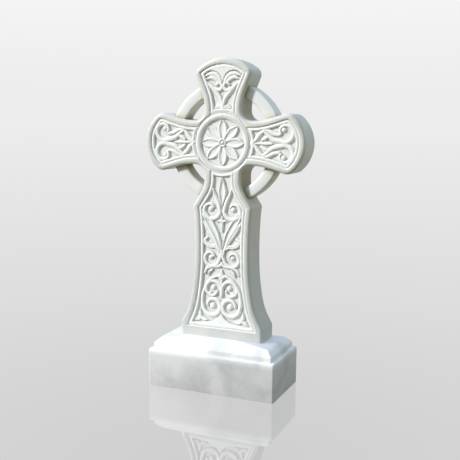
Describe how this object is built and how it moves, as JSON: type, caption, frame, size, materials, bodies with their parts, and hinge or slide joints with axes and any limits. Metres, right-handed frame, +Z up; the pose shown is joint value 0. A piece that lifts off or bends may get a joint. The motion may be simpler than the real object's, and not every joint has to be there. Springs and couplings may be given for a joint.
{
  "type": "celtic cross gravestone",
  "caption": "White marble Celtic cross gravestone: ringed cross with flared arms, rolled border, scrolled leaf carving and a flower roundel, on a stepped block base.",
  "frame": {"origin": "centre of the base block's underside, which is under the middle of the whole stone", "axes": "+Z up, the carved face towards -Y, +X to the right as seen from the carved face"},
  "size_m": [0.608, 0.254, 1.168],
  "materials": {
    "cross_marble": "satin",
    "base_marble": "satin"
  },
  "bodies": {
    "root": {"celtic_cross": "cross_marble", "base_block": "base_marble"}
  },
  "joints": []
}
